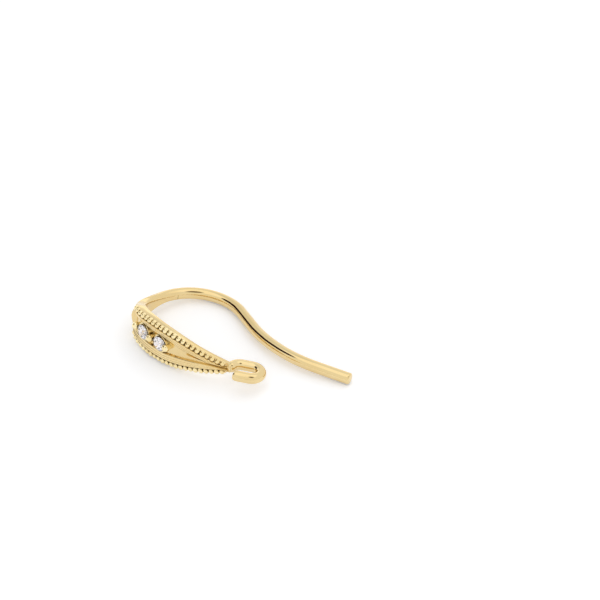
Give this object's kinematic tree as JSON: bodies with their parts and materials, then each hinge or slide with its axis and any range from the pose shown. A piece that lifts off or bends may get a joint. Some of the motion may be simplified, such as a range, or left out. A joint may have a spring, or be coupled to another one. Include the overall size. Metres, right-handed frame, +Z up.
{
  "type": "ear wire",
  "caption": "Hook-shaped earring finding lying on its side: round bent wire, leaf-shaped front plate with beaded rails and round clear stones, and an open end loop.",
  "frame": {"origin": "on the surface the hook lies on, under the middle of its outline seen from above", "axes": "+X lengthwise from the tail's tip towards the crown, +Y towards the front plate, +Z up from the surface"},
  "size_m": [0.0176, 0.0089, 0.0033],
  "materials": {
    "gold_plate": "polished gold plating",
    "clear_stone": "clear, faceted and polished"
  },
  "bodies": {
    "root": {"ear_hook": "gold_plate", "stone_upper": "clear_stone", "stone_lower": "clear_stone"}
  },
  "joints": []
}
